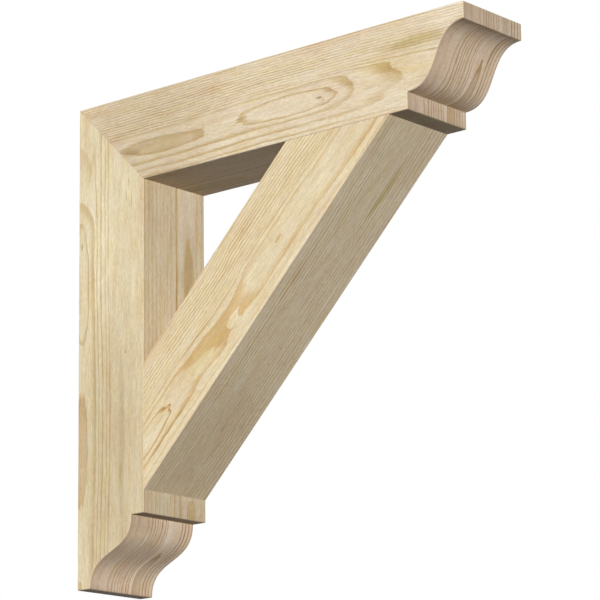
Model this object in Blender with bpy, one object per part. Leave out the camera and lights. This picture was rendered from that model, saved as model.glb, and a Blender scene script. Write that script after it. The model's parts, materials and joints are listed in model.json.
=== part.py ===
"""Timber knee-brace bracket for a wall, in metres, +Z up.

An upright post lies against the wall, a level beam stands out from its top, and a diagonal
brace runs between them. Post and beam are mitred together at the wall, and their free ends
carry the same profile: a square nose, an ogee and a step.

The origin is the centre of the post's wall face. +X points away from the wall, +Y runs
across the bracket, and all three timbers are centred on Y = 0.
"""

import math

import bmesh
import bpy
from mathutils import Vector

# Overall sizes
HEIGHT = 0.5588
PROJECTION = 0.5588

# Timber sections: the width runs across the bracket, the depths lie in its side view
TIMBER_WIDTH = 0.1016
POST_DEPTH = 0.1016
BEAM_DEPTH = 0.1016
BRACE_DEPTH = 0.1016

# The profile at both free ends, measured back from the tip and in from the outer face
NOSE_DEPTH = 0.01905
STEP_DEPTH = 0.01905
OGEE_RUN = 0.0762
OGEE_FULLNESS = 0.61
OGEE_SEGMENTS = 40

# The brace's outer edge lands this far behind each step
BRACE_SETBACK = 0.0254

# Clearance between timbers that touch, and the small easing on every sawn edge
JOINT_GAP = 0.0003
EASED_EDGE = 0.0008
EASED_SEGMENTS = 2
SHARP_ANGLE = math.radians(30)

# Colour, roughness and metallic value of each timber's wood
WOOD = {
    "wall_post": ((0.646, 0.499, 0.314), 0.62, 0.0),
    "top_beam": ((0.672, 0.521, 0.332), 0.62, 0.0),
    "diagonal_brace": ((0.680, 0.527, 0.328), 0.62, 0.0),
}

TOP = HEIGHT / 2
OUTER_CORNER = Vector((0.0, TOP))
INNER_CORNER = Vector((POST_DEPTH, TOP - BEAM_DEPTH))


def clear_scene():
    """Remove every object that the file opened with."""
    for old in list(bpy.data.objects):
        bpy.data.objects.remove(old, do_unlink=True)


def crossing(point_a, along_a, point_b, along_b):
    """Return the point where two lines in the side view cross."""
    offset = point_b - point_a
    return point_a + along_a * (offset.cross(along_b) / along_a.cross(along_b))


def ogee(tip, back, inward, depth):
    """Return the points of an end's profile, from its outer corner to the foot of its step.

    The curve leaves the nose square to it, hollows, swells and meets the step square to it,
    as a cubic curve whose two handles are the same share of its run.
    """
    start = tip + inward * NOSE_DEPTH
    end = tip + back * OGEE_RUN + inward * (depth - STEP_DEPTH)
    handle = back * OGEE_RUN * OGEE_FULLNESS
    points = [tip]
    for i in range(OGEE_SEGMENTS + 1):
        t = i / OGEE_SEGMENTS
        s = 1.0 - t
        points.append(
            start * s**3
            + (start + handle) * 3 * s * s * t
            + (end - handle) * 3 * s * t * t
            + end * t**3
        )
    points.append(tip + back * OGEE_RUN + inward * depth)
    return points


def mitre(side):
    """Return one timber's side of the mitre, as a line in the side view."""
    along = (INNER_CORNER - OUTER_CORNER).normalized()
    across = Vector((-along.y, along.x))
    return OUTER_CORNER + across * side * JOINT_GAP / 2, along


def beam_outline():
    """Return the beam's side view and its joint: the profiled tip and the mitre."""
    right = Vector((1.0, 0.0))
    down = Vector((0.0, -1.0))
    joint = mitre(1)
    tip = Vector((PROJECTION, TOP))
    points = ogee(tip, -right, down, BEAM_DEPTH)
    points.append(crossing(INNER_CORNER, right, *joint))
    points.append(crossing(OUTER_CORNER, right, *joint))
    return points, [joint]


def post_outline():
    """Return the post's side view and its joint: the profiled foot and the mitre."""
    right = Vector((1.0, 0.0))
    up = Vector((0.0, 1.0))
    joint = mitre(-1)
    foot = Vector((0.0, TOP - HEIGHT))
    points = ogee(foot, up, right, POST_DEPTH)
    points.append(crossing(INNER_CORNER, up, *joint))
    points.append(crossing(OUTER_CORNER, up, *joint))
    return points, [joint]


def brace_outline():
    """Return the brace's side view and its joints: the seats on the beam and the post."""
    right = Vector((1.0, 0.0))
    up = Vector((0.0, 1.0))
    on_beam = Vector((PROJECTION - OGEE_RUN - BRACE_SETBACK, TOP - BEAM_DEPTH))
    on_post = Vector((POST_DEPTH, TOP - HEIGHT + OGEE_RUN + BRACE_SETBACK))
    along = (on_post - on_beam).normalized()
    to_corner = Vector((along.y, -along.x))
    inner = on_beam + to_corner * BRACE_DEPTH
    beam_seat = on_beam - up * JOINT_GAP, right
    post_seat = on_post + right * JOINT_GAP, up
    points = [
        crossing(on_beam, along, *beam_seat),
        crossing(on_beam, along, *post_seat),
        crossing(inner, along, *post_seat),
        crossing(inner, along, *beam_seat),
    ]
    return points, [beam_seat, post_seat]


def wood_material(name):
    """Return the plain wood finish of one timber."""
    colour, roughness, metallic = WOOD[name]
    material = bpy.data.materials.new(name + "_wood")
    material.use_nodes = True
    shader = material.node_tree.nodes["Principled BSDF"]
    shader.inputs["Base Color"].default_value = (*colour, 1.0)
    shader.inputs["Roughness"].default_value = roughness
    shader.inputs["Metallic"].default_value = metallic
    return material


def ease_edges(timber):
    """Round the timber's sawn edges, but leave the tight joints sharp."""
    eased = timber.modifiers.new("eased_edges", "BEVEL")
    eased.limit_method = "WEIGHT"
    eased.width = EASED_EDGE
    eased.segments = EASED_SEGMENTS
    eased.use_clamp_overlap = True


def lies_in(edge, joint):
    """Say whether both ends of an edge lie on a joint's line in the side view."""
    point, along = joint
    ends = [Vector((v.co.x, v.co.z)) for v in edge.verts]
    return all(abs((end - point).cross(along)) < JOINT_GAP / 10 for end in ends)


def add_timber(name, outline, joints):
    """Extrude a side view across the bracket into one timber, sharp only in its joints."""
    solid = bmesh.new()
    corners = [solid.verts.new((p.x, -TIMBER_WIDTH / 2, p.y)) for p in outline]
    side = solid.faces.new(corners)
    pushed = bmesh.ops.extrude_face_region(solid, geom=[side])
    far_corners = [v for v in pushed["geom"] if isinstance(v, bmesh.types.BMVert)]
    bmesh.ops.translate(solid, vec=(0.0, TIMBER_WIDTH, 0.0), verts=far_corners)
    bmesh.ops.recalc_face_normals(solid, faces=solid.faces)

    weight = solid.edges.layers.float.new("bevel_weight_edge")
    for edge in solid.edges:
        sharp = edge.calc_face_angle() > SHARP_ANGLE
        tight = any(lies_in(edge, joint) for joint in joints)
        edge[weight] = 1.0 if sharp and not tight else 0.0
    mesh = bpy.data.meshes.new(name)
    solid.to_mesh(mesh)
    solid.free()

    mesh.materials.append(wood_material(name))
    mesh.set_sharp_from_angle(angle=SHARP_ANGLE)
    timber = bpy.data.objects.new(name, mesh)
    bpy.context.scene.collection.objects.link(timber)
    ease_edges(timber)


clear_scene()
add_timber("wall_post", *post_outline())
add_timber("top_beam", *beam_outline())
add_timber("diagonal_brace", *brace_outline())
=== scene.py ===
# %% [markdown]
# # A timber knee-brace bracket
#
# The bracket is three pieces of square softwood: a post that lies against the wall, a
# beam mitred to its top, and a diagonal brace between them. The free ends of the post
# and of the beam carry the same profile: a square nose, an ogee and a step.
#
# The lesson models each timber with Blender's own operators, eases and wears its sawn
# edges, and then spends most of its effort on the wood. Where the saw cuts through the
# growth rings is what makes softwood look like softwood, so the rings are worked out
# first and every colour, every bump and every gloss follows from them.

# %% Load the frame
import json
import math

import bmesh
import bpy
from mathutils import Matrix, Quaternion, Vector

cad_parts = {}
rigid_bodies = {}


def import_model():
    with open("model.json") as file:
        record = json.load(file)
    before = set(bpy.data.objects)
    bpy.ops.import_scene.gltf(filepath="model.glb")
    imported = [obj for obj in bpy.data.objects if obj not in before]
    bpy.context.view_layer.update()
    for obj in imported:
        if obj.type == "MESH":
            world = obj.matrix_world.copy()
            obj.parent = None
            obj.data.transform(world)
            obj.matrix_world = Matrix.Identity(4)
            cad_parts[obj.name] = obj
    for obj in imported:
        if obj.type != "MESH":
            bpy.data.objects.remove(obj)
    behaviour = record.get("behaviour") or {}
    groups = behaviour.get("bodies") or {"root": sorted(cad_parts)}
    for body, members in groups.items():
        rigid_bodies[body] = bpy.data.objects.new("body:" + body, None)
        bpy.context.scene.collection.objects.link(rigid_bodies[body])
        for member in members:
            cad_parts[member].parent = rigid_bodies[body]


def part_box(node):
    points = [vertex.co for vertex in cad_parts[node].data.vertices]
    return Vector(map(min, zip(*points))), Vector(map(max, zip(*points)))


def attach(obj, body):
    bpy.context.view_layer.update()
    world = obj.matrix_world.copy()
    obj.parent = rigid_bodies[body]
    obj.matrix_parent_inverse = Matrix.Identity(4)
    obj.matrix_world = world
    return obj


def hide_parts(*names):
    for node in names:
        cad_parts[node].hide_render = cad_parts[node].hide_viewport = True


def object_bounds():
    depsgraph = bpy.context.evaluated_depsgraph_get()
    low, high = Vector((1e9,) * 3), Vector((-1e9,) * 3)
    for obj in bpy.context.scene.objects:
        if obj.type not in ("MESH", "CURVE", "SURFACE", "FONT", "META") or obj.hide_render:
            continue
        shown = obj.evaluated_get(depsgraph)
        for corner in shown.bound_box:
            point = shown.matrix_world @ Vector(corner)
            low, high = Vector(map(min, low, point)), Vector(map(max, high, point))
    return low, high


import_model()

cad_low, cad_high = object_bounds()
print("frame from", cad_low, "to", cad_high)

# %% [markdown]
# ## Sizes
#
# The overall sizes and the sections come from the frame. Only the profile of the ends
# and the seats of the brace are given here, in metres: how deep the square nose and the
# step are, how far the ogee runs back, how full its curve is, and how far behind the step
# the brace lands.

# %% Sizes of the bracket
MM = 0.001
PER_MM = 1 / MM

OUT = Vector((1, 0, 0))
ACROSS = Vector((0, 1, 0))
UP = Vector((0, 0, 1))

TOP = cad_high.z
FOOT = cad_low.z
TIP = cad_high.x
HALF_WIDTH = cad_high.y
POST_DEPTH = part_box("wall_post")[1].x
BEAM_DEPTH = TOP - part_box("top_beam")[0].z
BRACE_DEPTH = BEAM_DEPTH

NOSE_DEPTH = 19.05 * MM
STEP_DEPTH = 19.05 * MM
OGEE_RUN = 76.2 * MM
OGEE_FULLNESS = 0.61
BRACE_SETBACK = 25.4 * MM
print("post", POST_DEPTH, "beam", BEAM_DEPTH, "width", 2 * HALF_WIDTH)

# %% [markdown]
# ## Sawing a timber
#
# A saw mill starts from a square baulk, and so does this. A cube is added, stretched
# between two corners, and its scale is applied so that later bevels keep their width.
# Every further saw cut is a bisect: it either drops what lies beyond the cut, or only
# marks a line around the timber.

# %% A baulk and a saw
WEAR_SPACING = 6 * MM


def baulk(name, low, high):
    """Add a cube, stretch it between two corners and leave it open for editing."""
    bpy.ops.object.select_all(action="DESELECT")
    bpy.ops.mesh.primitive_cube_add(size=1.0, location=(low + high) / 2)
    timber = bpy.context.object
    timber.name = name
    timber.data.name = name
    timber.scale = high - low
    bpy.ops.object.transform_apply(location=True, rotation=True, scale=True)
    bpy.ops.object.mode_set(mode="EDIT")
    return timber


def saw_off(point, normal):
    """Saw a timber through and drop what lies beyond the cut."""
    bpy.ops.mesh.select_all(action="SELECT")
    bpy.ops.mesh.bisect(plane_co=point, plane_no=normal, use_fill=True, clear_outer=True)


def mark_round(point, normal):
    """Run a line around a timber without taking anything off."""
    bpy.ops.mesh.select_all(action="SELECT")
    bpy.ops.mesh.bisect(plane_co=point, plane_no=normal)


def mark_length(start, direction, length):
    """Mark a timber at even steps, so that its long edges have points to wear at."""
    steps = round(length / WEAR_SPACING)
    for i in range(1, steps):
        mark_round(start + direction * (length * i / steps), direction)


# %% [markdown]
# ## The profiled end
#
# A joiner cuts the ogee with a bandsaw along a drawn line. The line is a cubic curve that
# leaves the nose square to it, hollows, swells and meets the step square to it. Here the
# end face is extruded a slice at a time along that curve, from the step out to the nose,
# and each new face is shrunk towards the timber's straight back. That leaves clean strips
# of faces that follow the curve, as the bandsaw does.

# %% The ogee, slice by slice
OGEE_SLICES = 56
SQUARELY = 0.99


def ogee_slices(depth):
    """Return how far out from the step, and how deep, the timber is at each slice."""
    start = Vector((0.0, depth - STEP_DEPTH))
    end = Vector((OGEE_RUN, NOSE_DEPTH))
    handle = Vector((OGEE_RUN * OGEE_FULLNESS, 0.0))
    slices = []
    for i in range(1, OGEE_SLICES + 1):
        t = i / OGEE_SLICES
        s = 1.0 - t
        slices.append(
            start * s**3
            + (start + handle) * 3 * s * s * t
            + (end - handle) * 3 * s * t * t
            + end * t**3
        )
    return slices


def profile_end(timber, step_at, depth):
    """Extrude the end of a level timber along the ogee, out from its step."""
    step_level = TOP - depth + STEP_DEPTH
    mark_round(UP * step_level, UP)
    bpy.ops.mesh.select_mode(type="FACE")
    bpy.ops.mesh.select_all(action="DESELECT")
    mesh = bmesh.from_edit_mesh(timber.data)
    for face in mesh.faces:
        above_step = face.calc_center_median().z > step_level
        face.select_set(face.normal.x > SQUARELY and above_step)
    bmesh.update_edit_mesh(timber.data)

    out = 0.0
    deep = depth - STEP_DEPTH
    for next_out, next_deep in ogee_slices(depth):
        bpy.ops.mesh.extrude_region_move(
            TRANSFORM_OT_translate={"value": (next_out - out, 0, 0)}
        )
        bpy.ops.transform.resize(
            value=(1, 1, next_deep / deep), center_override=(step_at + next_out, 0, TOP)
        )
        out = next_out
        deep = next_deep


# %% [markdown]
# ## Easing and wearing the edges
#
# Every sawn edge of the real bracket has been rubbed over with a block, but the edges in
# the joints were left sharp so that the joints close. So the bevel takes every sharp edge
# that doesn't lie in a joint, and a little noise then wears the new round edges inwards.
# The round edges catch more of the key light than the flat faces, so their colour is
# darkened with painted shade, and the same points are kept as an attribute for that.
#
# The bevel marks its new faces with a material place of their own, which is how they are
# found again. The places are emptied afterwards, ready for the wood.

# %% Ease and wear the edges
EASED_EDGE = 0.8 * MM
EASED_SEGMENTS = 4
WEAR_DEPTH = 0.35 * MM
SHARP = math.radians(30)
TOUCHING = 0.01 * MM
FLAT, ROUND = 0, 1

wear_pattern = bpy.data.textures.new("rubbed_edge", type="CLOUDS")
wear_pattern.noise_scale = 14 * MM
wear_pattern.noise_depth = 2


def lies_in(edge, joint):
    """Say whether both ends of an edge lie in a joint, given as a point and a normal."""
    point, normal = joint
    return all(abs((vertex.co - point).dot(normal)) < TOUCHING for vertex in edge.verts)


def ease_edges(timber, joints):
    """Bevel the sharp edges outside the joints, and wear the round edges inwards."""
    for place in (FLAT, ROUND):
        timber.data.materials.append(None)
    bpy.ops.mesh.select_mode(type="EDGE")
    bpy.ops.mesh.select_all(action="DESELECT")
    mesh = bmesh.from_edit_mesh(timber.data)
    for edge in mesh.edges:
        sharp = edge.calc_face_angle() > SHARP
        edge.select_set(sharp and not any(lies_in(edge, joint) for joint in joints))
    bmesh.update_edit_mesh(timber.data)
    bpy.ops.mesh.bevel(
        offset=EASED_EDGE, segments=EASED_SEGMENTS, affect="EDGES", material=ROUND
    )

    bpy.ops.mesh.select_mode(type="FACE")
    mesh = bmesh.from_edit_mesh(timber.data)
    for face in mesh.faces:
        face.select_set(face.material_index == ROUND)
    bmesh.update_edit_mesh(timber.data)
    bpy.ops.mesh.select_less()
    bpy.ops.object.vertex_group_add()
    bpy.ops.object.vertex_group_assign()
    bpy.ops.object.mode_set(mode="OBJECT")
    eased_edge = timber.data.attributes.new("eased_edge", "FLOAT", "POINT")
    for vertex in timber.data.vertices:
        eased_edge.data[vertex.index].value = len(vertex.groups)

    wear = timber.modifiers.new("wear", "DISPLACE")
    wear.texture = wear_pattern
    wear.texture_coords = "LOCAL"
    wear.vertex_group = timber.vertex_groups[0].name
    wear.mid_level = 1.0
    wear.strength = WEAR_DEPTH
    bpy.ops.object.modifier_apply(modifier=wear.name)
    timber.vertex_groups.clear()
    timber.data.materials.clear()


# %% [markdown]
# ## The beam and the post
#
# The beam is sawn square, profiled, marked along its length and mitred. The post is the
# same piece of joinery turned over the mitre, so it is modelled lying down in the beam's
# place, with its own length and depth, and is then swapped upright: how far out becomes
# how far down. That swap is a mirror, so its faces are turned the right way out again.
# The joints close to a hairline.

# %% Timbers with a profiled end
HAIRLINE = 0.1 * MM


def profiled_timber(name, length, depth, other_depth):
    """Model a level timber, mitred where it meets the wall and profiled at its tip."""
    step_at = length - OGEE_RUN
    timber = baulk(
        name, Vector((0, -HALF_WIDTH, TOP - depth)), Vector((step_at, HALF_WIDTH, TOP))
    )
    profile_end(timber, step_at, depth)
    mark_length(UP * TOP, OUT, step_at)
    past_mitre = Vector((-depth, 0, -other_depth)).normalized()
    mitre = (UP * TOP - past_mitre * HAIRLINE / 2, past_mitre)
    saw_off(*mitre)
    ease_edges(timber, [mitre])
    return timber


def swap_upright(timber):
    """Turn a level timber over the mitre, so that it stands against the wall."""
    for vertex in timber.data.vertices:
        out = vertex.co.x
        down = TOP - vertex.co.z
        vertex.co.x = down
        vertex.co.z = TOP - out
    timber.data.flip_normals()


top_beam = profiled_timber("top_beam_timber", TIP, BEAM_DEPTH, POST_DEPTH)
wall_post = profiled_timber("wall_post_timber", TOP - FOOT, POST_DEPTH, BEAM_DEPTH)
swap_upright(wall_post)
print("beam", len(top_beam.data.polygons), "faces, post", len(wall_post.data.polygons))

# %% [markdown]
# ## The diagonal brace
#
# The brace is a plain baulk, a little longer than its own lower edge, so that both saw
# cuts have wood to bite. It is laid down level, turned to the slope of its two seats,
# carried to the beam, and sawn off along the underside of the beam and the post's front.

# %% The brace
BRACE_ON_BEAM = Vector((TIP - OGEE_RUN - BRACE_SETBACK, 0, TOP - BEAM_DEPTH))
BRACE_ON_POST = Vector((POST_DEPTH, 0, FOOT + OGEE_RUN + BRACE_SETBACK))
BRACE_LENGTH = (BRACE_ON_POST - BRACE_ON_BEAM).length
BRACE_RUN = (BRACE_ON_POST - BRACE_ON_BEAM).normalized()
BRACE_FALL = math.atan2(-BRACE_RUN.z, -BRACE_RUN.x)
BRACE_TO_CORNER = Vector((BRACE_RUN.z, 0, -BRACE_RUN.x))
SPARE = 10 * MM


def sloping_brace():
    """Model the brace between its seat on the beam and its seat on the post."""
    left = -BRACE_LENGTH - SPARE
    low = Vector((left, -HALF_WIDTH, 0))
    timber = baulk("diagonal_brace_timber", low, Vector((SPARE, HALF_WIDTH, BRACE_DEPTH)))
    mark_length(OUT * left, OUT, SPARE - left)
    bpy.ops.mesh.select_all(action="SELECT")
    bpy.ops.transform.rotate(value=BRACE_FALL, orient_axis="Y", center_override=(0, 0, 0))
    bpy.ops.transform.translate(value=BRACE_ON_BEAM)
    beam_seat = (BRACE_ON_BEAM - UP * HAIRLINE, UP)
    post_seat = (BRACE_ON_POST + OUT * HAIRLINE, -OUT)
    saw_off(*beam_seat)
    saw_off(*post_seat)
    ease_edges(timber, [beam_seat, post_seat])
    return timber


diagonal_brace = sloping_brace()
print("brace", len(diagonal_brace.data.polygons), "faces")

# %% [markdown]
# ## Building with nodes
#
# One small function adds a shader node, applies its settings and fills its inputs. An
# input can be a plain value, another node, whose first output is then used, or one
# named output of a node. Curves also take their points here. The Mix node keeps separate
# sockets for numbers and for colours under the same names, so its colour sockets are
# known by their places.

# %% Add a node
MIX_BY, MIX_FIRST, MIX_SECOND = 0, 6, 7
MIXED = 2


def linear(hex_colour):
    """Turn an sRGB colour such as DCCAAA into the linear values that shaders use."""
    channels = [int(hex_colour[i:i + 2], 16) / 255 for i in (0, 2, 4)]
    return tuple(
        c / 12.92 if c <= 0.04045 else ((c + 0.055) / 1.055) ** 2.4 for c in channels
    ) + (1.0,)


def add(tree, kind, inputs=None, points=None, **settings):
    """Add a node to a tree, apply its settings and fill its inputs."""
    node = tree.nodes.new("ShaderNode" + kind)
    for name, value in settings.items():
        setattr(node, name, value)
    for name, value in (inputs or {}).items():
        if isinstance(value, bpy.types.Node):
            value = value.outputs[0]
        if isinstance(value, bpy.types.NodeSocket):
            tree.links.new(value, node.inputs[name])
        else:
            node.inputs[name].default_value = value
    if points:
        node.mapping.use_clip = False
        curve = node.mapping.curves[0].points
        curve[0].location = points[0]
        curve[1].location = points[-1]
        for x, y in points[1:-1]:
            curve.new(x, y)
        for point in curve:
            point.handle_type = "AUTO_CLAMPED"
        node.mapping.update()
    return node


# %% [markdown]
# ## Board coordinates
#
# Grain is easiest to describe in the board's own millimetres: along the grain, across the
# face, and into the board. All the wood below is written in those three numbers. Noise
# that is squeezed across the grain and drawn out along it gives fibres, streaks and slow
# wandering, depending only on how long and how wide its blotches are. Each use of that
# noise has its own shift, so that no two patterns run together.

# %% Measure a point on a board
def board_point(tree, origin, along, across, lean=0.0):
    """Return the point's millimetres along the grain, across the face and into the board.

    A lean slides the grain along with depth, so that a far face shows other figure.
    """
    here = add(tree, "TexCoord").outputs["Object"]
    offset = add(tree, "VectorMath", {0: here, 1: origin}, operation="SUBTRACT")
    depthwise = along.cross(across)
    numbers = [
        add(tree, "VectorMath", {0: offset, 1: axis * PER_MM}, operation="DOT_PRODUCT")
        for axis in (along + depthwise * lean, across, depthwise)
    ]
    u, v, w = (number.outputs["Value"] for number in numbers)
    return add(tree, "CombineXYZ", {"X": u, "Y": v, "Z": w})


# %% Streaks and spots on a board
ANY_DEPTH = 1e6


def streaks(tree, board, length, width, shift, detail=2.0):
    """Return noise in blotches some millimetres long along the grain and wide across it."""
    squeeze = (1 / length, 1 / width, 1 / width)
    squeezed = add(
        tree, "VectorMath", {0: board, 1: squeeze, 2: (shift, shift, shift)},
        operation="MULTIPLY_ADD",
    )
    return add(tree, "TexNoise", {"Vector": squeezed, "Scale": 1.0, "Detail": detail})


def spot(tree, board, middle, half_size, slant, softness):
    """Return how far inside a slanting oval on the face a point is, from 0 to 1."""
    local = add(
        tree, "Mapping",
        {"Vector": board, "Location": (*middle, 0), "Rotation": (0, 0, slant),
         "Scale": (*half_size, ANY_DEPTH)},
        vector_type="TEXTURE",
    )
    reach = add(tree, "VectorMath", {0: local}, operation="LENGTH").outputs["Value"]
    return add(
        tree, "MapRange",
        {"Value": reach, "From Min": 1 + softness, "From Max": 1 - softness},
        interpolation_type="SMOOTHSTEP",
    )


# %% [markdown]
# ## How ripe the wood is
#
# A ring starts in spring as wide pale wood, darkens to a hard tan band in late summer and
# stops dead for the winter. So the number of rings passed at each point of a face is all
# that the look needs: its fraction says how far through the year the wood is. Where the
# saw crosses the rings steeply the number climbs fast and the face shows fine lines, and
# where it only grazes them the number hardly moves and one late band spreads out into a
# broad tan island.
#
# No two years are alike, so each ring gets its own strength, the few rings nearest the
# heart stay bold, and broad patches of the face are stronger or weaker. A ring's edge
# also feathers a little along the fibres.

# %% Ripeness within a ring
SUMMER_ENDS = 0.50
LATE_WOOD_RIPE = 0.95
WINTER_STARTS = 0.975
WEAKEST_RING, STRONGEST_RING = 0.65, 1.1
BOLD_RING = 0.85
BOLD_FROM, BOLD_TO = 3.0, 1.0


def ripeness(tree, board, rings, feather, contrast):
    """Return how far the wood has ripened: 0 is early wood and 1 the hard edge."""
    fringe = streaks(tree, board, length=9, width=0.7, shift=3.1)
    feathered = add(tree, "Math", {0: fringe, 1: feather, 2: rings},
                    operation="MULTIPLY_ADD")
    season = add(tree, "Math", {0: feathered}, operation="FRACT")
    year = add(tree, "Math", {0: feathered}, operation="FLOOR")

    ripening = add(tree, "MapRange",
                   {"Value": season, "From Min": SUMMER_ENDS, "From Max": LATE_WOOD_RIPE},
                   interpolation_type="SMOOTHSTEP")
    growing = add(tree, "MapRange",
                  {"Value": season, "From Min": 1.0, "From Max": WINTER_STARTS})
    ripe = add(tree, "Math", {0: ripening, 1: growing}, operation="MULTIPLY")

    chance = add(tree, "TexWhiteNoise", {"W": year}, noise_dimensions="1D")
    strength = add(tree, "MapRange", {"Value": chance, "To Min": WEAKEST_RING,
                                      "To Max": STRONGEST_RING})
    bold = add(tree, "MapRange", {"Value": year, "From Min": BOLD_FROM,
                                  "From Max": BOLD_TO, "To Max": BOLD_RING})
    stronger = add(tree, "Math", {0: strength, 1: bold}, operation="MAXIMUM")
    patch = streaks(tree, board, length=140, width=20, shift=7.7)
    patches = add(tree, "MapRange", {"Value": patch, "From Min": 0.35, "From Max": 0.65,
                                     "To Min": WEAKEST_RING, "To Max": STRONGEST_RING})
    scaled = add(tree, "Math", {0: stronger, 1: patches}, operation="MULTIPLY")
    scaled = add(tree, "Math", {0: scaled, 1: contrast}, operation="MULTIPLY")
    return add(tree, "Math", {0: ripe, 1: scaled}, operation="MULTIPLY")


# %% [markdown]
# ## Colour, fibres and pores
#
# The ring's ripeness picks between three colours: early wood, late wood and the hard dark
# edge. Two faint tints, one pink and one yellow, drift over that in patches a few
# centimetres long, as they do in any softwood board.
#
# Real softwood cells are about 0.03 mm across, far too fine to show. So the fibres are
# drawn as streaks 0.8 mm wide, the grit that sanding leaves between them as 1 mm ones,
# and the pores as dashes 0.45 mm wide, which is as coarse as they need to be to show.

# %% The wood's own colour
FAINT_TINTS = (
    {"tint": linear("F3E4DF"), "length": 60, "width": 11, "shift": 11.3},
    {"tint": linear("F6EFD2"), "length": 38, "width": 7, "shift": 14.2},
)
FULLY_LATE = 0.75
EDGE_FROM, EDGE_TO = 0.86, 1.05


def ring_colour(tree, board, ripe, early, late, edge):
    """Return the colour of the ring at a point, with faint tints drifting over it."""
    to_late = add(tree, "MapRange", {"Value": ripe, "From Max": FULLY_LATE})
    to_edge = add(tree, "MapRange",
                  {"Value": ripe, "From Min": EDGE_FROM, "From Max": EDGE_TO})
    colour = add(tree, "Mix", {MIX_BY: to_late, MIX_FIRST: early, MIX_SECOND: late},
                 data_type="RGBA").outputs[MIXED]
    colour = add(tree, "Mix", {MIX_BY: to_edge, MIX_FIRST: colour, MIX_SECOND: edge},
                 data_type="RGBA").outputs[MIXED]
    for faint in FAINT_TINTS:
        patch = streaks(tree, board, faint["length"], faint["width"], faint["shift"])
        amount = add(tree, "MapRange", {"Value": patch, "From Min": 0.42, "From Max": 0.68,
                                        "To Max": 0.5})
        colour = add(tree, "Mix",
                     {MIX_BY: amount, MIX_FIRST: colour, MIX_SECOND: faint["tint"]},
                     data_type="RGBA", blend_type="MULTIPLY").outputs[MIXED]
    return colour


# %% Fibres and pores
FIBRE_WIDTH = 0.8
GRIT_WIDTH = 1.0
PORE_WIDTH = 0.45
FIBRE_SHADE = 0.13
GRIT_SHADE = 0.14
PORE_SHADE = 0.26


def fibres_and_pores(tree, board):
    """Return the fibres, the pores, and how light or dark the two make the wood."""
    fibre = streaks(tree, board, length=30, width=FIBRE_WIDTH, shift=5.9, detail=3.0)
    fibre_light = add(tree, "MapRange", {"Value": fibre, "From Min": 0.25, "From Max": 0.75,
                                         "To Min": 1 - FIBRE_SHADE,
                                         "To Max": 1 + FIBRE_SHADE})
    grit = streaks(tree, board, length=5, width=GRIT_WIDTH, shift=23.5, detail=4.0)
    grit_light = add(tree, "MapRange", {"Value": grit, "From Min": 0.25, "From Max": 0.75,
                                        "To Min": 1 - GRIT_SHADE,
                                        "To Max": 1 + GRIT_SHADE})
    light = add(tree, "Math", {0: fibre_light, 1: grit_light}, operation="MULTIPLY")
    dashes = streaks(tree, board, length=7, width=PORE_WIDTH, shift=17.9)
    pores = add(tree, "MapRange", {"Value": dashes, "From Min": 0.62, "From Max": 0.74})
    light = add(tree, "Math", {0: pores, 1: -PORE_SHADE, 2: light},
                operation="MULTIPLY_ADD")
    return fibre, pores, light


# %% [markdown]
# ## The growth ring group
#
# One node group holds all of that, so that every face shares it and only hands in its own
# ring number and colours. It gives back a colour, a height and a roughness. The hard late
# bands stand a little proud of the soft early wood, because sanding wears the soft wood
# faster. Bare sanded softwood is matt, with a roughness of about 0.7, and its late wood
# takes a slightly higher polish.

# %% Put the rings in a group
LATE_WOOD_STANDS = 0.6
EARLY_ROUGHNESS, LATE_ROUGHNESS = 0.72, 0.55


def growth_rings():
    """Build the node group that dresses a ring number in colour, relief and roughness."""
    tree = bpy.data.node_groups.new("growth_rings", "ShaderNodeTree")
    for name, kind in (("Board", "Vector"), ("Rings", "Float"), ("Feather", "Float"),
                       ("Contrast", "Float"), ("Early", "Color"), ("Late", "Color"),
                       ("Edge", "Color")):
        tree.interface.new_socket(name, in_out="INPUT", socket_type="NodeSocket" + kind)
    for name, kind in (("Colour", "Color"), ("Height", "Float"), ("Roughness", "Float")):
        tree.interface.new_socket(name, in_out="OUTPUT", socket_type="NodeSocket" + kind)
    given = tree.nodes.new("NodeGroupInput").outputs
    result = tree.nodes.new("NodeGroupOutput").inputs
    board = given["Board"]

    ripe = ripeness(tree, board, given["Rings"], given["Feather"], given["Contrast"])
    colour = ring_colour(tree, board, ripe, given["Early"], given["Late"], given["Edge"])
    fibre, pores, light = fibres_and_pores(tree, board)
    shaded = add(tree, "VectorMath", {0: colour, "Scale": light}, operation="SCALE")
    tree.links.new(shaded.outputs["Vector"], result["Colour"])

    ridged = add(tree, "Math", {0: ripe, 1: LATE_WOOD_STANDS, 2: fibre},
                 operation="MULTIPLY_ADD")
    pitted = add(tree, "Math", {0: ridged, 1: pores}, operation="SUBTRACT")
    tree.links.new(pitted.outputs[0], result["Height"])
    gloss = add(tree, "MapRange", {"Value": ripe, "To Min": EARLY_ROUGHNESS,
                                   "To Max": LATE_ROUGHNESS})
    tree.links.new(gloss.outputs[0], result["Roughness"])
    return tree


RINGS = growth_rings()
print("growth rings:", len(RINGS.nodes), "nodes")

# %% [markdown]
# ## Where the rings run on a face
#
# Each face only says where its rings run. A curve across the face gives the ring number
# from edge to edge; a second curve adds rings along the length, near the heart of the
# face, which closes the lines into arches; a third lets the lines drift sideways. Islands
# are ovals where the face dips into an older ring. Two slow noises let every line wander
# a few millimetres, as no tree grows straight, and a third makes the islands' ends ragged.
#
# The rings of this wood are 3 to 5 mm wide, so a curve across a face that is cut squarely
# climbs by 20 to 30 rings over the board's 102 mm, and by fewer where the cut slants.

# %% Count the rings at a point
SLOW_WANDER = 4.0
QUICK_WANDER = 2.4
RAGGED_ENDS = 40.0
HEART_REACH, HEART_CORE = 32, 12


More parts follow.
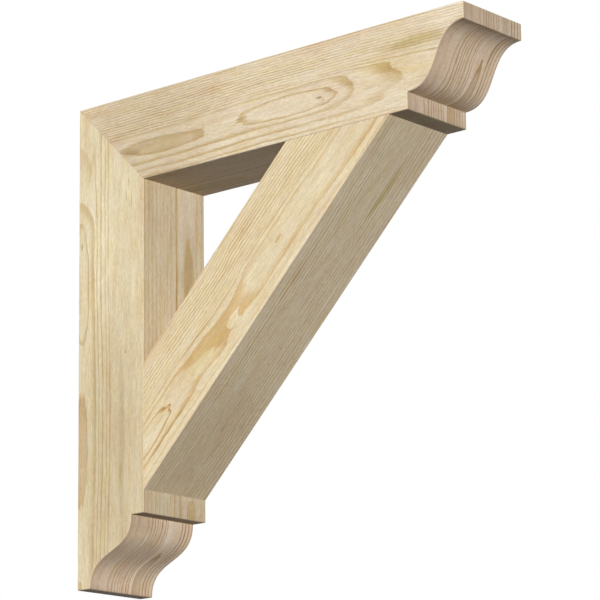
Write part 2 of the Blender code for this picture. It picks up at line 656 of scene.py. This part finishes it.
def ring_number(tree, board, across, along, heart, drift, islands):
    """Return the number of rings passed at each point of a face."""
    place = add(tree, "SeparateXYZ", {0: board}).outputs
    slow = streaks(tree, board, length=110, width=24, shift=1.3)
    level = add(tree, "Math", {0: slow, 1: SLOW_WANDER, 2: place["Y"]},
                operation="MULTIPLY_ADD")
    quick = streaks(tree, board, length=24, width=6, shift=2.9)
    level = add(tree, "Math", {0: quick, 1: QUICK_WANDER, 2: level},
                operation="MULTIPLY_ADD")
    drifted = add(tree, "FloatCurve", {"Value": place["X"]}, points=drift)
    level = add(tree, "Math", {0: level, 1: drifted}, operation="ADD")
    mean_wander = (SLOW_WANDER + QUICK_WANDER) / 2
    level = add(tree, "Math", {0: level, 1: mean_wander}, operation="SUBTRACT")

    rings = add(tree, "FloatCurve", {"Value": level}, points=across)
    arches = add(tree, "FloatCurve", {"Value": place["X"]}, points=along)
    off_heart = add(tree, "Math", {0: level, 1: heart}, operation="SUBTRACT")
    off_heart = add(tree, "Math", {0: off_heart}, operation="ABSOLUTE")
    near = add(tree, "MapRange",
               {"Value": off_heart, "From Min": HEART_REACH, "From Max": HEART_CORE},
               interpolation_type="SMOOTHSTEP")
    rings = add(tree, "Math", {0: arches, 1: near, 2: rings}, operation="MULTIPLY_ADD")

    ragged = streaks(tree, board, length=34, width=7, shift=9.4)
    reach = add(tree, "Math", {0: ragged, 1: RAGGED_ENDS, 2: place["X"]},
                operation="MULTIPLY_ADD")
    reach = add(tree, "Math", {0: reach, 1: RAGGED_ENDS / 2}, operation="SUBTRACT")
    shifted = add(tree, "CombineXYZ", {"X": reach, "Y": level})
    for middle, half_size, slant, softness, dip in islands:
        inside = spot(tree, shifted, middle, half_size, slant, softness)
        rings = add(tree, "Math", {0: inside, 1: -dip, 2: rings}, operation="MULTIPLY_ADD")
    return rings


# %% [markdown]
# ## The finished face
#
# Fades are ovals where the rings lose contrast, or gain it where the loss is below zero.
# Shades are broad soft stains that multiply the colour. Sap leaves tan, olive or honey
# ones, and a few tan and brown ones are painted shade. The pale streaks are bare
# sapwood, and one is painted light: their numbers are above one, so they lighten.
# Flecks are small dark marks of resin. The eased edges come last, darkened with painted
# shade.
#
# Islands, fades, shades and flecks are all written in the same order: the middle, half
# the size, the slant, and then how much or what colour. An island has its softness before
# how many rings it dips. Places are board millimetres, along the grain and then across.
#
# Bare wood has an IOR of about 1.5 and isn't metallic. Its relief is a tenth of a
# millimetre, which only shows where light grazes a face.

# %% Colours of the wood
EARLY_WOOD = linear("E1D2B7")
LATE_WOOD = linear("C8B186")
RING_EDGE = linear("B6935F")
TAN_STAIN_AND_SHADE = linear("EDEAE6")
OLIVE_STAIN = linear("E6E2C4")
HONEY_STAIN = linear("FCF8E9")
FOOT_SHADE = linear("ABA093")
PALE_STREAK_AND_LIGHT = (1.09, 1.12, 1.17, 1.0)
RESIN = linear("8A7650")
PAINTED_EDGE_SHADE = linear("B8A582")

# %% A face of wood
LONGEST = 600
NO_ARCHES = ((0, 0), (LONGEST, 0))
NO_DRIFT = ((0, 0), (LONGEST, 0))
STAIN_SOFTNESS = 0.6
FLECK_SOFTNESS = 0.5
LEAST_EDGE_SHADE, MOST_EDGE_SHADE = 0.25, 0.7
RELIEF = 0.12 * MM
WOOD_IOR = 1.5


def wood_face(name, board_from, across, along=NO_ARCHES, heart=66, drift=NO_DRIFT,
              islands=(), fades=(), shades=(), flecks=(), feather=0.14, contrast=1.0,
              early=EARLY_WOOD, late=LATE_WOOD, edge=RING_EDGE):
    """Make the material of one kind of face, from where its growth rings run."""
    wood = bpy.data.materials.new(name)
    wood.use_nodes = True
    tree = wood.node_tree
    board = board_point(tree, *board_from)
    rings = ring_number(tree, board, across, along, heart, drift, islands)
    for middle, half_size, slant, loss in fades:
        inside = spot(tree, board, middle, half_size, slant, STAIN_SOFTNESS)
        contrast = add(tree, "Math", {0: inside, 1: -loss, 2: contrast},
                       operation="MULTIPLY_ADD")
    ringed = add(tree, "Group", {"Board": board, "Rings": rings, "Feather": feather,
                                 "Contrast": contrast, "Early": early, "Late": late,
                                 "Edge": edge},
                 node_tree=RINGS)
    colour = ringed.outputs["Colour"]
    for middle, half_size, slant, tint in shades:
        inside = spot(tree, board, middle, half_size, slant, STAIN_SOFTNESS)
        colour = add(tree, "Mix", {MIX_BY: inside, MIX_FIRST: colour, MIX_SECOND: tint},
                     data_type="RGBA", blend_type="MULTIPLY").outputs[MIXED]
    for middle, half_size, slant, amount in flecks:
        inside = spot(tree, board, middle, half_size, slant, FLECK_SOFTNESS)
        fleck = add(tree, "Math", {0: inside, 1: amount}, operation="MULTIPLY")
        colour = add(tree, "Mix", {MIX_BY: fleck, MIX_FIRST: colour, MIX_SECOND: RESIN},
                     data_type="RGBA").outputs[MIXED]
    # Painted shade: the eased edges are darkened in patches, so that they don't shine
    # brighter than the faces.
    eased_edge = add(tree, "Attribute", attribute_name="eased_edge").outputs["Fac"]
    patch = streaks(tree, board, length=16, width=16, shift=31.1)
    patchy = add(tree, "MapRange", {"Value": patch, "From Min": 0.35, "From Max": 0.62,
                                    "To Min": LEAST_EDGE_SHADE, "To Max": MOST_EDGE_SHADE})
    edge_shade = add(tree, "Math", {0: eased_edge, 1: patchy}, operation="MULTIPLY")
    colour = add(tree, "Mix", {MIX_BY: edge_shade, MIX_FIRST: colour, MIX_SECOND: PAINTED_EDGE_SHADE},
                 data_type="RGBA").outputs[MIXED]

    relief = add(tree, "Bump", {"Height": ringed.outputs["Height"], "Strength": 1.0,
                                "Distance": RELIEF})
    shader = tree.nodes["Principled BSDF"]
    shader.inputs["IOR"].default_value = WOOD_IOR
    tree.links.new(colour, shader.inputs["Base Color"])
    tree.links.new(ringed.outputs["Roughness"], shader.inputs["Roughness"])
    tree.links.new(relief.outputs[0], shader.inputs["Normal"])
    print(name, len(tree.nodes), "nodes")
    return wood


# %% [markdown]
# ## The sides of the three timbers
#
# The sides are flat-sawn softwood, sanded and left bare, which gives the eye a matt cream
# face with tan figure. Each has fine lines along one edge, where the rings are crossed
# steeply, and islands and arches near the heart. The boards are measured from the near
# side, and the lean gives the far side other figure.

# %% The beam's side
NEAR_TOP = Vector((0, -HALF_WIDTH, TOP))
LEAN = 1.4

beam_side = wood_face(
    "flat_sawn_beam_side",
    (NEAR_TOP, OUT, -UP, LEAN),
    across=((0, 17.5), (44, 3), (47, 2), (50, 1.55), (57, 1.32), (66, 1.2), (76, 1.3),
            (86, 2), (94, 3), (102, 4)),
    along=((0, 0.05), (372, 0.1), (418, 0.85), (440, 1.25), (486, 1.82), (520, 2.2),
           (559, 2.6)),
    drift=((0, 0), (140, 0), (240, 3), (300, 4), (420, 4), (559, 2)),
    islands=(
        ((131, 66.5), (68, 11), 0.04, 0.5, 0.6),
        ((318, 67), (70, 13), 0.0, 0.35, 0.95),
    ),
    fades=(((460, 86), (100, 24), 0.0, 0.6),),
    shades=(
        ((105, 50), (100, 70), 0.0, TAN_STAIN_AND_SHADE),
        ((490, 29), (40, 6), 0.0, OLIVE_STAIN),
        ((84, 68), (12, 5), 0.0, TAN_STAIN_AND_SHADE),
        ((470, 52), (50, 12), 0.2, HONEY_STAIN),
        ((545, 10), (40, 16), 0.0, PALE_STREAK_AND_LIGHT),
    ),
    flecks=(
        ((362, 63), (4, 1.2), 0.0, 0.8),
        ((367, 66.5), (1.4, 1), 0.0, 0.5),
    ),
)

# %% [markdown]
# The post's heart lies near its back, so its islands and arches run down the wall edge
# and its front edge is plain. A little resin has bled out in short dark dashes.

# %% The post's side
post_side = wood_face(
    "flat_sawn_post_side",
    (NEAR_TOP, -UP, OUT, -LEAN),
    across=((0, 1.22), (8, 1.27), (15, 1.42), (20, 1.62), (25.5, 2), (30, 3), (36.5, 4),
            (43, 5), (48, 6), (56, 6.15), (84, 6.4), (102, 6.6)),
    along=((0, 2.4), (30, 2.0), (50, 1.65), (90, 1.1), (110, 0.72), (128, 0.35), (150, 0),
           (559, 0)),
    heart=4,
    drift=((0, 0), (180, 0), (300, -3), (400, -4), (480, -1), (559, 1)),
    islands=(
        ((209, 4), (70, 13), 0.0, 0.35, 0.95),
        ((402, 1), (74, 14), 0.0, 0.5, 0.5),
        ((604, 3), (60, 14), 0.0, 0.5, 0.5),
    ),
    fades=(((45, 8), (60, 26), 0.0, 0.45),),
    shades=(
        ((410, 55), (150, 48), 0.0, TAN_STAIN_AND_SHADE),
        ((410, 68), (95, 4), 0.0, TAN_STAIN_AND_SHADE),
        ((175, 34), (100, 18), 0.0, PALE_STREAK_AND_LIGHT),
    ),
    flecks=(
        ((165, 5), (4, 1.2), 0.0, 0.6),
        ((298, 74), (1.5, 1), 0.0, 0.8),
        ((118, 75), (6, 0.8), 0.0, 0.35),
        ((101, 79), (5, 0.7), 0.0, 0.35),
        ((124, 83), (8, 0.7), 0.0, 0.4),
        ((142, 77), (3, 0.7), 0.0, 0.3),
    ),
    early=linear("DED0AF"),
)

# %% [markdown]
# The brace's middle is broken by a tan island with a pale notch in it, as where the grain
# lifts out of the face beside a knot. The notch is an island that dips the other way.

# %% The brace's side
BRACE_START = BRACE_ON_BEAM + BRACE_TO_CORNER * BRACE_DEPTH + ACROSS * -HALF_WIDTH

brace_side = wood_face(
    "flat_sawn_brace_side",
    (BRACE_START, BRACE_RUN, -BRACE_TO_CORNER, LEAN),
    across=((0, 15), (24, 9), (40, 5), (46, 3), (52, 2), (55, 1.6), (60, 1.38), (70, 1.3),
            (82, 1.4), (91, 2), (99.5, 3), (102, 3.3)),
    along=((0, 0.05), (235, 0.08), (258, 0.4), (287, 0.5), (330, 0.42), (362, 0.36),
           (384, 0.05), (503, 0)),
    heart=70,
    drift=((0, -2), (60, -2), (120, 1), (180, 2), (230, 2), (262, -1), (290, -1), (340, 2),
           (400, 3), (503, 3)),
    islands=(
        ((182, 69), (13, 2.4), 0.0, 0.5, 0.5),
        ((287, 78), (10, 7), 0.3, 0.4, -0.35),
        ((350, 77), (40, 8), -0.3, 0.3, 0.3),
        ((458, 71), (46, 12), 0.0, 0.35, 0.95),
    ),
    fades=(
        ((250, 97), (300, 7), 0.0, 0.5),
        ((425, 72), (50, 18), 0.0, -0.35),
    ),
    shades=(
        ((264, 72), (24, 13), 0.2, PALE_STREAK_AND_LIGHT),
        ((342, 69), (44, 13), -0.2, HONEY_STAIN),
        ((250, 106), (260, 9), 0.0, PALE_STREAK_AND_LIGHT),
    ),
    early=linear("E0D1B0"),
    late=linear("CFB280"),
)

# %% [markdown]
# ## The faces that look along the wall
#
# The post's front and the beam's underside are flat-sawn too, from boards alike enough to
# share one curve across: close lines at one edge, one bold line near the middle and a
# broad plain band beyond it. The underside gets a greyer, darker wood, and part of that
# stands in for shade that the lamps don't give. The brace's lower face is cut square to
# the rings, which leaves only plain close lines.

# %% The post's front and the beam's underside
front_rings = (
    (0, 10), (30, 5.4), (46, 2.7), (52, 2), (55.5, 1.78), (59, 1.42), (63, 1.33), (82, 1.33),
    (90, 2), (98, 3), (102, 3.5),
)
INNER_CORNER = Vector((POST_DEPTH, -HALF_WIDTH, TOP - BEAM_DEPTH))

post_front = wood_face(
    "flat_sawn_post_front",
    (INNER_CORNER, -UP, ACROSS),
    front_rings,
    heart=73,
    drift=((0, 0), (200, 0), (340, -5), (400, -5)),
    islands=(
        ((112, 75), (66, 11), 0.0, 0.3, 0.45),
        ((240, 74), (60, 9), 0.0, 0.35, 0.95),
        ((376, 73), (26, 8), 0.0, 0.3, 0.55),
    ),
    fades=(
        ((60, 54), (160, 5), 0.0, -0.8),
        ((140, 33), (300, 17), 0.0, 0.35),
        ((140, 93), (300, 7), 0.0, 0.2),
    ),
    shades=(
        ((22, 70), (64, 18), 0.0, PALE_STREAK_AND_LIGHT),
        ((92, 74), (40, 9), 0.0, TAN_STAIN_AND_SHADE),
    ),
    early=linear("D0C1A6"),
    edge=linear("AE9162"),
)
beam_under = wood_face(
    "flat_sawn_beam_underside",
    (INNER_CORNER, OUT, ACROSS),
    front_rings,
    heart=73,
    islands=(
        ((30, 73), (68, 10), 0.0, 0.3, 0.45),
        ((200, 74), (60, 9), 0.0, 0.35, 0.95),
    ),
    fades=(((90, 54), (120, 5), 0.0, -0.8),),
    shades=(
        ((368, 50), (60, 90), 0.0, HONEY_STAIN),
        ((30, 75), (60, 12), 0.0, HONEY_STAIN),
        # Painted light: this pale spot lightens the underside where the brace shades it.
        ((125, 20), (60, 40), 0.0, PALE_STREAK_AND_LIGHT),
    ),
    early=linear("B9A998"),
    late=linear("9E9473"),
    edge=linear("8A7E5C"),
)

# %% The brace's lower face
brace_low = wood_face(
    "quarter_sawn_brace",
    (BRACE_ON_BEAM - ACROSS * HALF_WIDTH, BRACE_RUN, ACROSS),
    across=((0, 0), (34, 7), (62, 15), (80, 19), (102, 23)),
    drift=((0, 6), (80, 3), (160, 0), (400, 0), (503, 4)),
    fades=(
        ((240, 26), (300, 16), 0.0, -0.15),
        ((240, 4), (300, 10), 0.0, 0.3),
    ),
    shades=(
        ((85, 66), (32, 4), 0.0, OLIVE_STAIN),
        ((500, 50), (150, 80), 0.0, TAN_STAIN_AND_SHADE),
    ),
    flecks=(
        ((77, 44), (1, 0.8), 0.0, 0.6),
        ((295, 62), (1, 0.8), 0.0, 0.6),
        ((318, 62), (1, 0.8), 0.0, 0.6),
    ),
    feather=0.3,
    contrast=0.95,
    early=linear("DCCEB4"),
)

# %% [markdown]
# ## The faces turned away
#
# The beam's top and the post's back are only seen from above and from behind. They are
# sawn from the same two baulks, so they get the same bare softwood, with fine lines
# towards an edge and two islands each along the heart.

# %% The beam's top and the post's back
beam_top = wood_face(
    "flat_sawn_beam_top",
    (NEAR_TOP, OUT, ACROSS),
    across=((0, 9), (14, 5), (26, 3), (36, 2), (46, 1.35), (58, 1.3), (70, 2), (80, 3),
            (90, 5), (102, 9)),
    along=((0, 0.1), (250, 0.2), (420, 1.1), (559, 2.2)),
    heart=52,
    islands=(
        ((150, 54), (84, 11), 0.03, 0.4, 0.7),
        ((330, 50), (60, 9), 0.0, 0.35, 0.95),
    ),
)
post_back = wood_face(
    "flat_sawn_post_back",
    (NEAR_TOP, -UP, ACROSS),
    across=((0, 12), (20, 8), (44, 4), (60, 2.3), (72, 1.4), (84, 1.35), (94, 2), (102, 2.8)),
    along=((0, 1.6), (120, 0.6), (260, 0.1), (559, 0)),
    heart=78,
    islands=(
        ((300, 78), (90, 10), 0.0, 0.4, 0.7),
        ((490, 76), (54, 9), 0.0, 0.35, 0.95),
    ),
    early=linear("DED0AF"),
)

# %% [markdown]
# ## The cut ends
#
# The ends are cut across the grain, and open end grain drinks the light, so they look
# pinker and duller than the sides. The rings show there as stripes that run right round
# the ogee. Seen from the side, each end falls back at roughly 45 degrees, and so the
# board for the ends is laid at 45 degrees, from the beam's tip down to the post's foot.
# One board then serves both ends: the stripes cross it and never break at a curve. Its
# long stains run the whole way, its short ones, painted shade among them, belong to one end.
#
# The square nose and step are left as the saw made them, a little darker than the sanded
# ogee. On the post they look straight down, so their wood is darker again, and darkest at
# the foot, which stands in for shade that the lamps don't give.

# %% One board for both ends
DOWN_THE_SLOPE = Vector((-1, 0, -1)).normalized()
WHOLE_WAY = 4000

end_board = (Vector((TIP, -HALF_WIDTH, TOP)), DOWN_THE_SLOPE, ACROSS)
end_rings = dict(
    across=((0, 10.3), (9, 10.1), (13, 9.8), (22, 9.4), (27, 9), (34, 8), (39.5, 7),
            (43.5, 6), (47.5, 5), (51.5, 4), (57, 3), (60.5, 2), (64, 1.4), (81, 1.4),
            (85, 2), (90, 3), (95, 4), (100, 5)),
    heart=72,
    islands=(
        ((130, 74), (80, 7), 0.0, 0.3, 0.72),
        ((790, 73), (80, 7), 0.0, 0.3, 0.72),
    ),
    fades=(
        ((400, 12), (WHOLE_WAY, 20), 0.0, 0.5),
        ((62, 84.5), (52, 4), 0.0, -0.6),
        ((728, 84.5), (52, 4), 0.0, -0.4),
    ),
    shades=(
        ((400, -2), (WHOLE_WAY, 9), 0.0, TAN_STAIN_AND_SHADE),
        ((400, 64), (WHOLE_WAY, 3.5), 0.0, PALE_STREAK_AND_LIGHT),
        ((400, 95), (WHOLE_WAY, 4), 0.0, PALE_STREAK_AND_LIGHT),
        ((5, 73), (12, 6), 0.0, TAN_STAIN_AND_SHADE),
        ((119, 73), (9, 6), 0.0, HONEY_STAIN),
        # The next two darken the post's ogee where it turns into the step's underside and the
        # foot: painted shade.
        ((684, 12), (9, 26), 0.0, TAN_STAIN_AND_SHADE),
        ((783, 12), (10, 26), 0.0, TAN_STAIN_AND_SHADE),
        ((791, 50), (11, 400), 0.0, FOOT_SHADE),
    ),
    feather=0.05,
    contrast=0.85,
)

# %% End grain, sawn and sanded
flat_end = wood_face(
    "sawn_end_grain", end_board, **end_rings,
    early=linear("D3C0AA"), late=linear("A78964"), edge=linear("8E704C"),
)
foot_end = wood_face(
    "sawn_end_grain_foot", end_board, **end_rings,
    early=linear("8E7862"), late=linear("6E583F"), edge=linear("5D472F"),
)
ogee_end = wood_face(
    "sanded_end_grain", end_board, **end_rings,
    early=linear("DDC8B0"), late=linear("B09068"), edge=linear("95714C"),
)

# %% [markdown]
# ## Dressing the timbers
#
# Every face of a timber gets the wood that the saw would have shown there: a side, a
# narrow face, a face turned away or an end. Flat faces are kept flat and the eased edges
# shade smoothly, and each timber then stands for its solid in the frame.

# %% Put the wood on a timber
def dress(timber, node, woods, kind_of):
    """Give each face its wood, shade the timber and let it stand for its node."""
    for wood in woods:
        timber.data.materials.append(wood)
    for face in timber.data.polygons:
        face.material_index = kind_of(face)

    bpy.ops.object.select_all(action="DESELECT")
    timber.select_set(True)
    bpy.context.view_layer.objects.active = timber
    bpy.ops.object.shade_smooth_by_angle(angle=SHARP)
    flat = timber.modifiers.new("flat_faces", "WEIGHTED_NORMAL")
    flat.keep_sharp = True
    bpy.ops.object.modifier_apply(modifier=flat.name)
    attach(timber, "root")
    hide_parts(node)
    print(timber.name, len(timber.data.polygons), "faces dressed")


# %% Tell the faces apart and dress all three
SIDE, NARROW, OUTER, FLAT_END, OGEE_END = range(5)
MOSTLY = 0.7


def kind_on_brace(face):
    """Tell a side of the brace from its narrow faces."""
    return SIDE if abs(face.normal.y) > MOSTLY else NARROW


def kind_on_beam(face):
    """Tell the beam's sides, top, underside and cut end apart."""
    if abs(face.normal.y) > MOSTLY:
        return SIDE
    if face.normal.z > MOSTLY:
        return OUTER
    if face.center.x < TIP - OGEE_RUN - TOUCHING:
        return NARROW
    return FLAT_END if face.normal.x > SQUARELY else OGEE_END


def kind_on_post(face):
    """Tell the post's sides, back, front and cut end apart."""
    if abs(face.normal.y) > MOSTLY:
        return SIDE
    if face.normal.x < -MOSTLY:
        return OUTER
    if face.center.z > FOOT + OGEE_RUN + TOUCHING:
        return NARROW
    return FLAT_END if face.normal.z < -SQUARELY else OGEE_END


beam_woods = (beam_side, beam_under, beam_top, flat_end, ogee_end)
post_woods = (post_side, post_front, post_back, foot_end, ogee_end)
dress(top_beam, "top_beam", beam_woods, kind_on_beam)
dress(wall_post, "wall_post", post_woods, kind_on_post)
dress(diagonal_brace, "diagonal_brace", (brace_side, brace_low), kind_on_brace)

# %% [markdown]
# ## Camera
#
# The camera stands low and to the right, looks up at the bracket, and uses a long lens,
# so that the timbers' edges stay nearly parallel.

# %% Camera
CAMERA_PLACE = Vector((2.25537, -2.31177, -0.72684))
CAMERA_AZIMUTH = math.radians(40.397)
CAMERA_ELEVATION = math.radians(-13.716)
CAMERA_ROLL = math.radians(-0.787)
CAMERA_LENS = 172.444
CAMERA_FILM = 36

camera_data = bpy.data.cameras.new("camera")
camera_data.lens = CAMERA_LENS
camera_data.sensor_width = CAMERA_FILM
camera = bpy.data.objects.new("camera", camera_data)
bpy.context.scene.collection.objects.link(camera)
to_camera = Vector((
    math.sin(CAMERA_AZIMUTH) * math.cos(CAMERA_ELEVATION),
    -math.cos(CAMERA_AZIMUTH) * math.cos(CAMERA_ELEVATION),
    math.sin(CAMERA_ELEVATION),
))
level_view = to_camera.to_track_quat("Z", "Y")
camera.rotation_mode = "QUATERNION"
camera.rotation_quaternion = level_view @ Quaternion((0, 0, 1), CAMERA_ROLL)
camera.location = CAMERA_PLACE
bpy.context.scene.camera = camera
print("camera at", CAMERA_PLACE, "with a lens of", CAMERA_LENS, "mm")

# %% [markdown]
# ## Light
#
# One broad soft light stands beside the camera, a little to the left, which makes the
# sides the lightest faces and leaves the undersides dark. It casts no shadows, as in a
# studio with light from all round. Two more light the back and the top for anyone who
# walks round.

# %% Studio light
def soft_light(name, towards, strength, spread):
    """Add a broad light that shines from a direction."""
    data = bpy.data.lights.new(name, "SUN")
    data.energy = strength
    data.angle = math.radians(spread)
    light = bpy.data.objects.new(name, data)
    light.rotation_mode = "QUATERNION"
    light.rotation_quaternion = Vector(towards).to_track_quat("Z", "Y")
    bpy.context.scene.collection.objects.link(light)
    print(name, "light of strength", strength)
    return data


key = soft_light("key", towards=(0.74, -1.00, -0.04), strength=4.14, spread=12)
key.use_shadow = False
soft_light("back", towards=(-0.35, 0.93, 0.08), strength=2.6, spread=20)
soft_light("above", towards=(-0.20, 0.10, 1.00), strength=2.2, spread=25)

# %% [markdown]
# ## Room and floor
#
# The room around is white to the eye but lights the wood only a little, because a bright
# room would fill the dark undersides. So a ray from the camera sees a white background
# and any other ray a dim one. The pale floor lies far below the bracket, out of the
# picture, and throws nothing back at it.

# %% White room
WHITE = (1, 1, 1, 1)
ROOM_LIGHT = 0.025

room = bpy.data.worlds.new("white_room")
room.use_nodes = True
room.node_tree.nodes.clear()
seen = add(room.node_tree, "Background", {"Color": WHITE})
dim = add(room.node_tree, "Background", {"Color": WHITE, "Strength": ROOM_LIGHT})
to_eye = add(room.node_tree, "LightPath").outputs["Is Camera Ray"]
either = add(room.node_tree, "MixShader", {0: to_eye, 1: dim, 2: seen})
add(room.node_tree, "OutputWorld", {"Surface": either})
bpy.context.scene.world = room
bpy.context.scene.view_settings.view_transform = "Standard"
print("room light", ROOM_LIGHT)

# %% Pale floor
FLOOR_SIZE = 80
FLOOR_LEVEL = -1.3

bpy.ops.object.select_all(action="DESELECT")
bpy.ops.mesh.primitive_plane_add(size=FLOOR_SIZE, location=(0, 0, FLOOR_LEVEL))
floor = bpy.context.object
floor.name = "pale_floor"
floor.visible_diffuse = False
floor.visible_shadow = False
paint = bpy.data.materials.new("pale_floor_paint")
paint.use_nodes = True
paint.node_tree.nodes["Principled BSDF"].inputs["Base Color"].default_value = linear("F4F4F2")
floor.data.materials.append(paint)
print("floor at", FLOOR_LEVEL)
